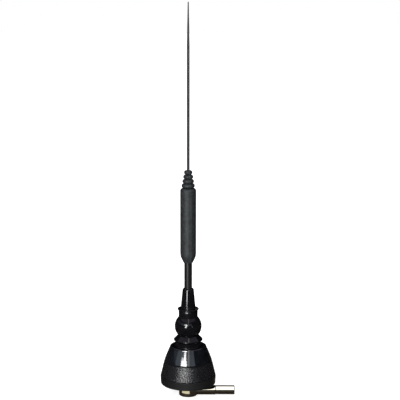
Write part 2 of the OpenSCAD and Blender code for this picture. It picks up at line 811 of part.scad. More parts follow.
module cable_sleeve() {
    far = arm_reach + fit + sleeve_len;
    entry_r = mouth_bore_d / 2;
    lead_in = 1;
    edge = 0.5;
    color("#cdcbc0") translate([0, 0, arm_z]) rotate([0, 90, 0]) difference() {
        translate([0, 0, arm_reach + fit]) rounded_post(sleeve_r, sleeve_len, 0.2, edge);
        translate([0, 0, arm_reach - 1]) cylinder(r = sleeve_bore_r, h = sleeve_len + 3);
        translate([0, 0, far - mouth_bore_depth]) cylinder(r = entry_r, h = mouth_bore_depth + 1);
        translate([0, 0, far - mouth_bore_depth - lead_in])
            cylinder(r1 = sleeve_bore_r, r2 = entry_r, h = lead_in + eps);
    }
}

roof_gasket();
base_skirt();
base_cone();
cone_screws();
seam_seal();
feed_insert();
slip_washer();
swivel_collar();
swivel_seal();
swivel_ball();
tension_bolt();
disc_spring();
ball_washer();
stud_plug();
cap_collar();
mast_foot();
lower_rod();
lower_ferrule();
coil_former();
loading_coil();
upper_ferrule();
coil_cover();
whip();
connector_neck();
snap_ring();
connector_body();
connector_cap();
neck_insulator();
centre_contact();
contact_spring();
contact_plunger();
hub_insulator();
cable_sleeve();
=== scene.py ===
"""Looks of a dual-band roof antenna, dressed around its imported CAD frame.

Each sub-assembly is a class that takes its places from the frame, works its surfaces out as
profiles turned about the mast's axis, and dresses them. The frame is in metres, +Z up the mast
and -Y towards the viewer. Profiles are written in millimetres, and the third number of a corner is
the radius that rounds it.
"""
import functools
import json
import logging
import math
from dataclasses import dataclass
from enum import Enum

import bpy
import numpy as np
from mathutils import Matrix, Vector


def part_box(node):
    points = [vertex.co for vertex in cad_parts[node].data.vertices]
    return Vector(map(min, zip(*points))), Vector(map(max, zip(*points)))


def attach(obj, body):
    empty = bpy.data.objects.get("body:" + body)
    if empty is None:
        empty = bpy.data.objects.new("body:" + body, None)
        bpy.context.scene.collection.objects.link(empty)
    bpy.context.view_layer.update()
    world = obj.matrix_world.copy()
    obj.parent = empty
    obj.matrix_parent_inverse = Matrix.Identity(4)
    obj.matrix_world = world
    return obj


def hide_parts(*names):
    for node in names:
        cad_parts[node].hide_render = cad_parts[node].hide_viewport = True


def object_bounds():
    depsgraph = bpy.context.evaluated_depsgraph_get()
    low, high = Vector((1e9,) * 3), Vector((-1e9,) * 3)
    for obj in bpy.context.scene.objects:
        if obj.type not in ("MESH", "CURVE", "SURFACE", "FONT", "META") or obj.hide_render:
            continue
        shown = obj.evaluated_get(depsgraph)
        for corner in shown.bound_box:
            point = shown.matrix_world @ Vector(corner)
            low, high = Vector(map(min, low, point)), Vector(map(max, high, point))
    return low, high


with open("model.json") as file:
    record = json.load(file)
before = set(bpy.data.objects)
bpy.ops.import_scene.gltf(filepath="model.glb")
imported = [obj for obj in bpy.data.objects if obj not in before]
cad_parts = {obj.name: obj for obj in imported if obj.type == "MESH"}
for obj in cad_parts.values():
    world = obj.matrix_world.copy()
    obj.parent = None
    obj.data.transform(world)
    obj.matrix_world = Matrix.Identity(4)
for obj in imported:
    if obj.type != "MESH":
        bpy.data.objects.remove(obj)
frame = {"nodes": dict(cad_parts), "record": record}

LOG = logging.getLogger("antenna")
CAD_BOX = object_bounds()
MM = 0.001
# Steps in the whole turn of a turned piece, of the whip and of the neck
AROUND = 192
AROUND_THIN = 48
AROUND_NECK = 96
NO_TRIS = np.zeros((0, 3), int)
# Angle in degrees between two faces above which their edge is drawn sharp, at 180 none
SHARP = 28.0
SHARP_THREAD = 50.0
SHARP_TIP = 180.0
# Width in pixels of the image that the camera is set for
IMAGE_WIDTH = 400
Pair = tuple[float, float]
Triple = tuple[float, float, float]
JOINTS = {joint["name"]: joint for joint in frame["record"]["behaviour"]["joints"]}


class Body(Enum):
    """Bodies of the frame on which pieces ride."""

    BASE = "base"
    COLLAR = "collar"
    MAST = "mast"
    CONNECTOR = "connector"


def linear(hex_colour: str) -> tuple[float, ...]:
    """Turn an sRGB hex colour into linear RGBA.

    Args:
        hex_colour: a colour such as "#1c1c1e".

    Returns:
        Red, green, blue and an alpha of 1, in linear light.
    """
    channels = [int(hex_colour[i:i + 2], 16) / 255 for i in (1, 3, 5)]
    out = [c / 12.92 if c <= 0.04045 else ((c + 0.055) / 1.055) ** 2.4 for c in channels]
    return out[0], out[1], out[2], 1.0


@dataclass(frozen=True)
class Span:
    """Height span and outer radius of a turned CAD node, in millimetres."""

    low: float
    high: float
    radius: float

    @classmethod
    def of(cls, node: str) -> "Span":
        """Measure a node of the frame.

        Args:
            node: the node's name.

        Returns:
            Its lowest and highest height and its largest radius along Y.
        """
        low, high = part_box(node)
        return cls(low.z / MM, high.z / MM, high.y / MM)


class Profile:
    """Outline in the radius and height plane, with a fillet of its own at each corner.

    A stretch longer than PLAIN gets an extra point MARGIN from each end, so that smooth shading
    bends at the corners only and leaves the wall between them straight.
    """

    PLAIN = 0.8
    MARGIN = 0.1

    def __init__(self) -> None:
        """Start an empty outline."""
        self.corners: list[Triple] = []

    def to(self, radius: float, height: float, fillet: float = 0.0) -> "Profile":
        """Add a corner.

        Args:
            radius: distance from the axis, in millimetres.
            height: height, in millimetres.
            fillet: radius of the arc that rounds this corner, or 0 for a sharp one.

        Returns:
            This outline, so that calls can be chained.
        """
        self.corners.append((radius, height, fillet))
        return self

    def arc(self, centre: Pair, radius: float, start: float, end: float,
            steps: int = 9) -> "Profile":
        """Add an arc: centre + radius * (cos a, sin a), with a from start to end.

        Args:
            centre: radius and height of the arc's centre.
            radius: the arc's own radius.
            start: first angle in degrees, 0 pointing away from the axis and 90 up.
            end: last angle in degrees.
            steps: pieces in the arc.

        Returns:
            This outline.
        """
        for a in np.radians(np.linspace(start, end, steps + 1)):
            self.to(centre[0] + radius * math.cos(a), centre[1] + radius * math.sin(a))
        return self

    def points(self, closed: bool = True, steps: int = 7) -> np.ndarray:
        """Work out the outline's points.

        A rounded corner is the arc that touches both its sides: it starts and ends at
        fillet / tan(half the corner's angle) from the corner, and its centre lies on the bisector.

        Args:
            closed: whether the last corner joins the first.
            steps: pieces in each arc.

        Returns:
            An array of radius and height, one row a point.
        """
        raw = np.array([(r, z) for r, z, _ in self.corners], float)
        out: list[np.ndarray] = []
        count = len(raw)
        for i, (_, _, fillet) in enumerate(self.corners):
            if fillet <= 0 or (not closed and i in (0, count - 1)):
                out.append(raw[i:i + 1])
                continue
            before = raw[i - 1] - raw[i]
            after = raw[(i + 1) % count] - raw[i]
            a, b = before / np.linalg.norm(before), after / np.linalg.norm(after)
            half = math.acos(float(np.clip(a @ b, -1, 1))) / 2
            reach = fillet / math.tan(half)
            centre = raw[i] + (a + b) / np.linalg.norm(a + b) * fillet / math.sin(half)
            first, last = raw[i] + a * reach - centre, raw[i] + b * reach - centre
            sweep = math.pi - 2 * half
            turn = np.linspace(0, 1, steps + 1)[:, None]
            arc = np.sin((1 - turn) * sweep) * first + np.sin(turn * sweep) * last
            out.append(centre + arc / math.sin(sweep))
        rows = np.vstack(out)
        after = np.roll(rows, -1, axis=0)
        length = np.linalg.norm(after - rows, axis=1)
        plain = length > self.PLAIN
        plain[-1] &= closed
        step = (after - rows) * (self.MARGIN / np.maximum(length, self.MARGIN))[:, None]
        every = np.stack([rows, rows + step, after - step], axis=1)
        return every[np.stack([np.ones(len(rows), bool), plain, plain], axis=1)]


def make_mesh(name: str, points: np.ndarray, quads: np.ndarray,
              tris: np.ndarray = NO_TRIS) -> bpy.types.Object:
    """Put whole arrays of points and faces into a new object at the origin.

    Args:
        name: the object's name.
        points: positions in metres, one row a vertex.
        quads: vertex numbers, four a row.
        tris: vertex numbers, three a row.

    Returns:
        The object, linked to the scene and shaded smooth.
    """
    mesh = bpy.data.meshes.new(name)
    mesh.vertices.add(len(points))
    mesh.vertices.foreach_set("co", points.astype(np.float32).ravel())
    loops = np.concatenate([quads.ravel(), tris.ravel()]).astype(np.int32)
    sizes = np.concatenate([np.full(len(quads), 4), np.full(len(tris), 3)]).astype(np.int32)
    starts = np.concatenate([[0], np.cumsum(sizes)[:-1]]).astype(np.int32)
    mesh.loops.add(len(loops))
    mesh.loops.foreach_set("vertex_index", loops)
    mesh.polygons.add(len(sizes))
    mesh.polygons.foreach_set("loop_start", starts)
    mesh.update(calc_edges=True)
    mesh.validate()
    mesh.polygons.foreach_set("use_smooth", np.ones(len(mesh.polygons), bool))
    obj = bpy.data.objects.new(name, mesh)
    bpy.context.scene.collection.objects.link(obj)
    return obj


def read_points(obj: bpy.types.Object) -> np.ndarray:
    """Give the positions of a mesh's vertices, in metres, one row a vertex."""
    points = np.empty(len(obj.data.vertices) * 3, np.float32)
    obj.data.vertices.foreach_get("co", points)
    return points.reshape(-1, 3)


def move_points(obj: bpy.types.Object, points: np.ndarray) -> None:
    """Move a mesh's vertices.

    Args:
        obj: the piece.
        points: the new positions in metres, one row a vertex.
    """
    obj.data.vertices.foreach_set("co", points.ravel())
    obj.data.update()


def turned(name: str, outline: np.ndarray, closed: bool = True,
           around: int = AROUND) -> bpy.types.Object:
    """Turn an outline about the mast's axis.

    A point of the surface is (r cos t, r sin t, z), with (r, z) along the outline and t from 0 to
    one whole turn. An open outline starts and ends on the axis, and each end is one shared point.

    Args:
        name: the object's name.
        outline: radius and height in millimetres, running so that the solid lies to its left.
        closed: whether the outline is a loop, as for a ring, or runs from axis to axis.
        around: steps in the whole turn.

    Returns:
        A closed surface whose faces point outwards.
    """
    t = np.arange(around) * (2 * math.pi / around)
    rows = outline if closed else outline[1:-1]
    count = len(rows)
    grid = np.stack([
        rows[:, 0:1] * np.cos(t), rows[:, 0:1] * np.sin(t), np.repeat(rows[:, 1:2], around, axis=1),
    ], axis=-1).reshape(-1, 3)
    last = count if closed else count - 1
    i, j = np.meshgrid(np.arange(last), np.arange(around), indexing="ij")
    up, side = (i + 1) % count, (j + 1) % around
    quads = np.stack([
        i * around + j, i * around + side, up * around + side, up * around + j,
    ], axis=-1).reshape(-1, 4)
    tris = NO_TRIS
    if not closed:
        poles = np.array([[0, 0, outline[0, 1]], [0, 0, outline[-1, 1]]])
        grid = np.vstack([grid, poles])
        ring, step = np.arange(around), (np.arange(around) + 1) % around
        low = np.stack([np.full(around, len(grid) - 2), step, ring], axis=-1)
        base = (count - 1) * around
        high = np.stack([np.full(around, len(grid) - 1), base + ring, base + step], axis=-1)
        tris = np.vstack([low, high])
    return make_mesh(name, grid * MM, quads, tris)


def along_arm(obj: bpy.types.Object, height: float) -> bpy.types.Object:
    """Lay a piece turned about Z along the connector's arm, by (x, y, z) -> (z, y, height - x).

    Args:
        obj: the turned piece.
        height: height of the arm's axis, in millimetres.

    Returns:
        The same piece, lying along +X.
    """
    x, y, z = read_points(obj).T
    move_points(obj, np.stack([z, y, height * MM - x], axis=-1))
    return obj


def place(obj: bpy.types.Object, body: Body, slot: str, node: str, sharp: float = SHARP) -> None:
    """Finish a piece: its sharp edges, its body, its slot and the CAD node that it stands for.

    Args:
        obj: the piece.
        body: the body on which it rides.
        slot: the record's material slot.
        node: the CAD node that it replaces.
        sharp: angle in degrees above which an edge is drawn sharp.
    """
    obj.data.set_sharp_from_angle(angle=math.radians(sharp))
    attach(obj, body.value)
    obj.data.materials.append(material_of(slot))
    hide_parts(node)
    LOG.info("%s rides on %s, %d faces", obj.name, body.value, len(obj.data.polygons))


class Graph:
    """A node tree that is filled node by node."""

    def __init__(self, tree: bpy.types.NodeTree) -> None:
        """Start with an empty tree.

        Args:
            tree: the tree of a material or a world.
        """
        self.tree = tree
        self.tree.nodes.clear()

    def add(self, kind: str, settings: dict | None = None,
            links: dict | None = None) -> bpy.types.Node:
        """Add a node with its settings and its links.

        Args:
            kind: Blender's name of the node type.
            settings: attributes by name, or socket values by a number or a socket's name.
            links: output sockets by the number or name of the input socket that they feed.

        Returns:
            The new node.
        """
        node = self.tree.nodes.new(kind)
        for key, value in (settings or {}).items():
            if isinstance(key, int) or key in node.inputs:
                node.inputs[key].default_value = value
            else:
                setattr(node, key, value)
        for key, source in (links or {}).items():
            self.tree.links.new(source, node.inputs[key])
        return node


class Shader(Graph):
    """One material's node tree, with its Principled BSDF and its Object coordinates."""

    def __init__(self, name: str) -> None:
        """Start a material.

        Args:
            name: the finish's name.
        """
        self.material = bpy.data.materials.new(name)
        self.material.use_nodes = True
        super().__init__(self.material.node_tree)
        self.skin = self.add("ShaderNodeBsdfPrincipled")
        self.add("ShaderNodeOutputMaterial", links={"Surface": self.skin.outputs[0]})
        self.place = self.add("ShaderNodeTexCoord").outputs["Object"]

    def noise(self, size_mm: float, detail: float, squash: Triple = (1, 1, 1)):
        """Give noise whose blotches are about size_mm across.

        Args:
            size_mm: blotch size in millimetres; the noise's scale is blotches in a metre.
            detail: octaves of finer noise.
            squash: factors on the coordinates, below 1 along which the blotches are long.

        Returns:
            The noise's value socket.
        """
        where = self.place
        if squash != (1, 1, 1):
            where = self.add("ShaderNodeMapping", {"Scale": squash}, {0: self.place}).outputs[0]
        settings = {"Scale": 1 / (size_mm * MM), "Detail": detail, "Roughness": 0.55}
        return self.add("ShaderNodeTexNoise", settings, {"Vector": where}).outputs["Fac"]

    def ramp(self, source, low: float, high: float, stops: Pair = (0.35, 0.65)):
        """Map a value onto a range.

        Args:
            source: the value socket.
            low: result at the first stop and below.
            high: result at the second stop and above.
            stops: the two stops.

        Returns:
            The mapped value socket.
        """
        settings = {"From Min": stops[0], "From Max": stops[1], "To Min": low, "To Max": high}
        return self.add("ShaderNodeMapRange", settings, {"Value": source}).outputs[0]

    def feed(self, **sockets) -> None:
        """Link or set the skin's sockets by their names, with spaces written as underscores."""
        for key, value in sockets.items():
            socket = self.skin.inputs[key.replace("_", " ")]
            if isinstance(value, bpy.types.NodeSocket):
                self.tree.links.new(value, socket)
            else:
                socket.default_value = value


@dataclass(frozen=True)
class Finish:
    """A surface finish: its real name, its colours and how smooth it is.

    The grain and the relief that it raises are in millimetres, as is the size of the clouds in
    which the dark and the light colour mix. The mould's parting line, drawn pale as a painted
    highlight, is given by its place, in degrees.
    """

    name: str
    dark: str
    light: str
    roughness: float
    metallic: float = 0.0
    grain_mm: float = 0.5
    relief_mm: float = 0.004
    ior: float = 1.5
    cloud_mm: float = 9.0
    stretch: Triple = (1, 1, 1)
    parting_highlight: float | None = None

    def draw_parting_highlight(self, s: Shader, colour):
        """Draw the mould's parting line as a painted highlight, pale in the middle and faded out
        at either side.

        Args:
            s: the shader.
            colour: colour socket of the plain surface.

        Returns:
            The colour socket with the line.
        """
        turn = math.radians(self.parting_highlight)
        across = {"operation": "DOT_PRODUCT", 1: (math.cos(turn), math.sin(turn), 0)}
        beside = s.add("ShaderNodeVectorMath", across, {0: s.place}).outputs["Value"]
        off = s.add("ShaderNodeMath", {"operation": "ABSOLUTE"}, {0: beside}).outputs[0]
        line = s.ramp(off, PARTING_HIGHLIGHT_SHARE, 0.0, (PARTING_HIGHLIGHT_HALF[0] * MM, PARTING_HIGHLIGHT_HALF[1] * MM))
        highlight_settings = {"data_type": "RGBA", 7: linear(PARTING_HIGHLIGHT_COLOUR)}
        return s.add("ShaderNodeMix", highlight_settings, {0: line, 6: colour}).outputs[2]

    def material(self) -> bpy.types.Material:
        """Build the finish: cloudy colour, uneven gloss, a fine relief and the parting line's
        painted highlight.

        Returns:
            The material.
        """
        s = Shader(self.name)
        cloud = s.noise(self.cloud_mm, 3.0)
        fine = s.noise(self.grain_mm, 2.0, self.stretch)
        mix = {"data_type": "RGBA", 6: linear(self.dark), 7: linear(self.light)}
        colour = s.add("ShaderNodeMix", mix, {0: s.ramp(cloud, 0, 1)}).outputs[2]
        # The parting line is drawn pale, as a painted highlight.
        if self.parting_highlight is not None:
            colour = self.draw_parting_highlight(s, colour)
        rough = s.ramp(fine, self.roughness * (1 - UNEVEN), self.roughness * (1 + UNEVEN))
        relief = {"Distance": self.relief_mm * MM}
        normal = s.add("ShaderNodeBump", relief, {"Height": fine}).outputs[0]
        s.feed(Base_Color=colour, Roughness=rough, Normal=normal, Metallic=self.metallic,
               IOR=self.ior)
        return s.material


# Share by which a finish's roughness varies to either side
UNEVEN = 0.15
# The parting line's pale colour is a painted highlight.
# Parting line: how much of its colour shows, and half its width in mm, full and faded
PARTING_HIGHLIGHT_SHARE = 0.35
PARTING_HIGHLIGHT_HALF = (0.05, 0.3)
PARTING_HIGHLIGHT_COLOUR = "#5c6063"
# Stretches of the grain: rings around the axis, and lines along it
TURNED = (0.04, 0.04, 1.0)
DRAWN = (1.0, 1.0, 0.02)

FINISHES = {
    # Grained nylon gives the cover its dry, mottled dark grey; the mould's parting line is a
    # painted highlight.
    "matt_cover": Finish("Grained polyamide", "#191c1e", "#2a2e30", 0.56, ior=1.42, grain_mm=0.9,
                         relief_mm=0.1, cloud_mm=2.4, parting_highlight=20.5),
    # Black plating gives deep black with sharp highlights, faintly ringed by the lathe.
    "black_metal": Finish("Black plated brass", "#08080a", "#0e0e11", 0.09, ior=1.45,
                          grain_mm=0.3, relief_mm=0.0006, stretch=TURNED),
    # Polished ABS gives the cone its clear mirror image of the lamps. Its IOR is raised above
    # that of ABS, as the wall in the photograph mirrors more strongly.
    "gloss_cone": Finish("Polished black ABS", "#0b0c0f", "#111317", 0.1, ior=1.75, grain_mm=1.6,
                         relief_mm=0.001),
    # Spark erosion gives the skirt its sparkling grain, drawn coarser than real so that it shows.
    "textured_skirt": Finish("Spark-eroded black ABS", "#0e0e10", "#18181b", 0.25, grain_mm=1.0,
                             relief_mm=0.35),
    # Dry rubber gives the gasket a soft dull black.
    "gasket_rubber": Finish("EPDM rubber", "#0c0c0d", "#151516", 0.55, ior=1.4, grain_mm=0.6,
                            relief_mm=0.02),
    # The rod's coat is satin, with fine marks along the draw.
    "satin_rod": Finish("Satin black coating", "#101012", "#18181a", 0.35, grain_mm=0.3,
                        stretch=DRAWN),
    # The whip's coat is duller still, so that it shows no bright line.
    "coated_whip": Finish("Black coated spring steel", "#161619", "#222226", 0.45, grain_mm=0.4,
                          stretch=DRAWN),
    # Bright nickel mirrors the white strip above and the brown table below.
    "nickel_plate": Finish("Bright nickel plate", "#d2ccb8", "#dfdbcc", 0.06, metallic=1.0,
                           relief_mm=0.0006),
    # Bare brass parts inside, with a lathe's fine rings.
    "turned_brass": Finish("Turned brass", "#b08a3c", "#c9a353", 0.25, metallic=1.0, grain_mm=0.3,
                           relief_mm=0.001, stretch=TURNED),
    # Zinc plate is a grey, slightly frosted metal.
    "zinc_steel": Finish("Zinc-plated steel", "#9fa2a5", "#b8babd", 0.3, metallic=1.0),
    # Smooth sealing rings.
    "seal_rubber": Finish("Nitrile rubber", "#111112", "#18181a", 0.45),
    # Waxy white plastic around the contact.
    "white_insulator": Finish("White fluoropolymer", "#dedcd4", "#eae8e2", 0.4),
    # Lacquered wire keeps copper's red under a gloss.
    "coil_copper": Finish("Enamelled copper wire", "#8a4a24", "#b06a38", 0.2, metallic=1.0),
}


def join(name: str, *parts: bpy.types.Object) -> bpy.types.Object:
    """Put several turned rings, whose faces all have four corners, into one object.

    Args:
        name: the new object's name.
        parts: the rings, which are removed.

    Returns:
        The joined object at the origin.
    """
    points, quads, base = [], [], 0
    for part in parts:
        corners = np.empty(len(part.data.loops), np.int32)
        part.data.loops.foreach_get("vertex_index", corners)
        points.append(read_points(part))
        quads.append(corners.reshape(-1, 4) + base)
        base += len(part.data.vertices)
        bpy.data.objects.remove(part)
    return make_mesh(name, np.vstack(points), np.vstack(quads))


@dataclass(frozen=True)
class Base:
    """Rubber gasket, grained skirt and polished cone, all turned about the mast's axis.

    Hidden faces follow the solids of the CAD, so that the pieces fit as those do.
    """

    # Clearance between two mouldings
    fit: float = 0.05
    # Gasket: hole for the neck, pad, band, bevelled heel and grooves
    hole: float = 6.3
    pad: float = 2.6
    band_wall: float = 2.0
    band_lean: float = 0.3
    heel: float = 0.55
    groove_at: tuple[float, ...] = (12.5, 16.0, 19.5)
    groove_width: float = 1.1
    groove_depth: float = 0.6
    # Skirt: wall, set-back from the band, shadow gap, bore, hub and seat of the cone's plug
    wall: float = 2.2
    set_back: float = 0.2
    shadow: float = 0.7
    shadow_rise: Pair = (0.4, 0.5)
    bore: float = 6.04
    hub: float = 8.5
    hub_drop: float = 17.3
    floor: float = 6.1
    plug_bore: float = 17.35
    plug_depth: float = 3.6
    # Seam between skirt and cone
    skirt_height: float = 12.5
    seam_radius: float = 19.6
    seam: float = 0.9
    # Cone: foot and rim of its wall, which swells by barrel along wall_normal
    wall_foot: float = 19.4
    rim: float = 14.85
    rim_round: float = 1.04
    barrel: float = 0.11
    wall_normal: Pair = (0.94, 0.35)
    # Cone: well, socket and core for the feed insert, floor and plug
    mouth: float = 12.75
    well_depth: float = 4.2
    socket: float = 9.2
    socket_depth: float = 6.0
    insert: float = 4.55
    core: float = 11.4
    core_depth: float = 12.8
    well_floor: float = 2.4
    plug: float = 17.3
    plug_inside: float = 15.1
    plug_inside_top: float = 15.15

    @property
    def seam_height(self) -> float:
        """Height of the seam."""
        return Span.of("roof_gasket").high + self.skirt_height

    def gasket(self) -> None:
        """Turn the gasket: a ring pad with three grooves, and a band that leans outwards."""
        size = Span.of("roof_gasket")
        foot, inside = size.radius - self.band_lean, size.radius - self.band_wall
        p = Profile().to(self.hole, 0, 0.2)
        for near in self.groove_at:
            far = near + self.groove_width
            p.to(near, 0, 0.12).to(near, self.groove_depth, 0.2)
            p.to(far, self.groove_depth, 0.2).to(far, 0, 0.12)
        p.to(foot - self.heel, 0, 0.25).to(foot, self.heel, 0.5).to(size.radius, size.high, 0.3)
        p.to(inside, size.high).to(inside, self.pad).to(self.hole, self.pad)
        obj = turned("Roof_gasket_band", p.points())
        place(obj, Body.BASE, "gasket_rubber", "roof_gasket")

    def skirt(self) -> None:
        """Turn the skirt: a hollow cone with a hub, whose top edge turns into the seam's groove."""
        gasket = Span.of("roof_gasket")
        foot = gasket.radius - self.band_wall - self.fit
        low, out = gasket.high, gasket.radius - self.set_back
        top, back, split = self.seam_radius, self.seam_radius - self.seam, self.seam_height
        edge, inside = split - self.seam / 2, foot - self.wall
        hub_top = Span.of("base_cone").high - self.hub_drop
        rise, end = self.shadow_rise
        p = Profile().to(self.bore, self.pad, 0.2).to(foot, self.pad, 0.2).to(foot, low + self.fit)
        p.to(out - self.shadow, low + self.fit).to(out - self.shadow, low + rise, 0.1)
        p.to(out, low + end, 0.15).to(top, edge, 0.25).to(back, edge, 0.15).to(back, split)
        p.to(self.plug_bore, split).to(self.plug_bore, split - self.plug_depth, 0.3)
        p.to(inside, low, 1.0).to(inside, self.floor, 0.6).to(self.hub, self.floor, 0.5)
        p.to(self.hub, hub_top).to(self.bore, hub_top)
        obj = turned("Grained_skirt", p.points())
        place(obj, Body.BASE, "textured_skirt", "base_skirt")

    def cone(self) -> None:
        """Turn the cone: a polished wall up to a half-round rim, with the well inside.

        The wall swells by barrel * 4 t (1 - t), with t from 0 at its foot to 1 at the rim.
        """
        top, split, back = Span.of("base_cone").high, self.seam_height, self.seam_radius - self.seam
        rim_z, well = top - self.rim_round, top - self.well_depth
        seat, core = well - self.socket_depth, well - self.core_depth
        under, plug_low = well - self.well_floor, split - self.plug_depth
        p = Profile().to(self.plug_inside, plug_low).to(self.plug, plug_low, 0.3)
        p.to(self.plug, split + self.fit).to(back, split + self.fit)
        p.to(back, split + self.seam / 2, 0.15).to(self.wall_foot, split + self.seam / 2, 0.3)
        foot = np.array([self.wall_foot, split + self.seam / 2])
        wall = np.array([self.rim, rim_z]) - foot
        for t in (0.2, 0.4, 0.6, 0.8):
            swell = 4 * t * (1 - t) * self.barrel * np.array(self.wall_normal)
            p.to(*(foot + wall * t + swell))
        p.to(self.rim, rim_z).arc((self.rim - self.rim_round, rim_z), self.rim_round, 24, 180, 14)
        p.to(self.mouth, well, 0.6).to(self.socket, well, 0.2).to(self.socket, seat)
        p.to(self.insert, seat).to(self.insert, core).to(self.core, core).to(self.core, under)
        p.to(self.plug_inside, under).to(self.plug_inside_top, split)
        obj = turned("Polished_cone", p.points())
        place(obj, Body.BASE, "gloss_cone", "base_cone")

    def build(self) -> None:
        """Build the base's three mouldings."""
        self.gasket()
        self.skirt()
        self.cone()


@dataclass(frozen=True)
class Swivel:
    """The turning collar, the hollow ball in its cup and the collar that caps the ball."""

    # Ball: centre, radius, radius of its seats, cavity, and where outside and cavity start and
    # end, in degrees above the middle
    ball_height: float = JOINTS["mast_tilt"]["pos_m"][2] / MM
    ball: float = 10.9
    cup: float = 10.95
    cavity: float = 6.5
    ball_ends: Pair = (-63.09, 53.4)
    cavity_ends: Pair = (0.0, -54.75)
    # Collar: bore for the bolt, spigot with its seal's groove, body, bead, lip and cup's edge
    bolt: float = 2.08
    spigot: float = 9.12
    spigot_height: float = 3.0
    seal_foot: float = 7.82
    seal_from: float = 0.8
    seal_to: float = 2.4
    body: float = 10.5
    bead: float = 0.8
    bead_line: Pair = (10.15, 6.6)
    shoulder: float = 3.1
    lip_drop: float = 2.2
    lip: float = 0.75
    edge: float = 8.24
    cup_edge: float = 8.1
    # Cap: body, ridge as radius, drop from the top and rounding, lip, dish, stud hole and plug
    cap_body: float = 7.7
    cap_rise: float = 2.6
    ridge: tuple[Triple, ...] = (
        (7.8, 2.5, 0.08), (7.57, 1.8, 0.12), (7.35, 1.5, 0.1), (7.35, 0.96, 0.1))
    cap_lip: float = 0.5
    dish: Pair = (7.25, 6.55)
    dish_depth: float = 0.7
    stud: float = 3.1
    plug: float = 6.6
    plug_top: float = 8.95

    def seat_angle(self, radius: float) -> float:
        """Give the angle in degrees at which the ball's seat is a radius away from the axis."""
        return math.degrees(math.acos(radius / self.cup))

    def collar(self) -> None:
        """Turn the collar: spigot, body with a bead, rounded lip, sloping shoulder and cup."""
        size = Span.of("swivel_collar")
        low, top = size.low, size.high
        lip_z, step = top - self.shoulder, low + self.spigot_height
        bead_r, bead_rise = self.bead_line
        p = Profile().to(self.bolt, low).to(self.spigot, low, 0.3)
        p.to(self.spigot, low + self.seal_from).to(self.seal_foot, low + self.seal_from)
        p.to(self.seal_foot, low + self.seal_to).to(self.spigot, low + self.seal_to)
        p.to(self.spigot, step).to(self.body, step, 0.4)
        p.arc((bead_r, low + bead_rise), self.bead, -62, 62, 10)
        p.to(self.body, lip_z - self.lip_drop, 0.5)
        p.arc((size.radius - self.lip, lip_z - self.lip), self.lip, -50, 38, 12)
        p.to(self.edge, top, 0.1)
        ends = self.seat_angle(self.cup_edge), self.seat_angle(self.bolt)
        p.arc((0, self.ball_height), self.cup, -ends[0], -ends[1], 16)
        obj = turned("Swivel_collar_plated", p.points(steps=5))
        place(obj, Body.COLLAR, "black_metal", "swivel_collar")

    def hollow_ball(self) -> None:
        """Turn the ball: a sphere open to its cavity above and to the bolt's throat below."""
        mid = (0, self.ball_height)
        p = Profile().arc(mid, self.ball, *self.ball_ends, 72)
        p.arc(mid, self.cavity, *self.cavity_ends, 24)
        obj = turned("Plated_ball", p.points())
        place(obj, Body.MAST, "black_metal", "swivel_ball")

    def cap(self) -> None:
        """Turn the cap collar: body, ridge, neck and lip outside, ball seat and dish inside."""
        size = Span.of("cap_collar")
        top, plug_z = size.high, self.ball_height + self.plug_top
        dish_z = top - self.dish_depth
        hole, seat = self.seat_angle(self.plug), self.seat_angle(self.cap_body)
        p = Profile().arc((0, self.ball_height), self.cup, hole, seat, 5)
        p.to(self.cap_body, top - self.cap_rise)
        for radius, drop, fillet in self.ridge:
            p.to(radius, top - drop, fillet)
        p.arc((size.radius - self.cap_lip, top - self.cap_lip), self.cap_lip, -80, 90, 12)
        p.to(self.dish[0], top, 0.08).to(self.dish[1], dish_z, 0.25)
        p.to(self.stud, dish_z).to(self.stud, plug_z).to(self.plug, plug_z)
        obj = turned("Cap_collar_plated", p.points(steps=5))
        place(obj, Body.MAST, "black_metal", "cap_collar")

    def build(self) -> None:
        """Build the swivel's three pieces."""
        self.collar()
        self.hollow_ball()
        self.cap()


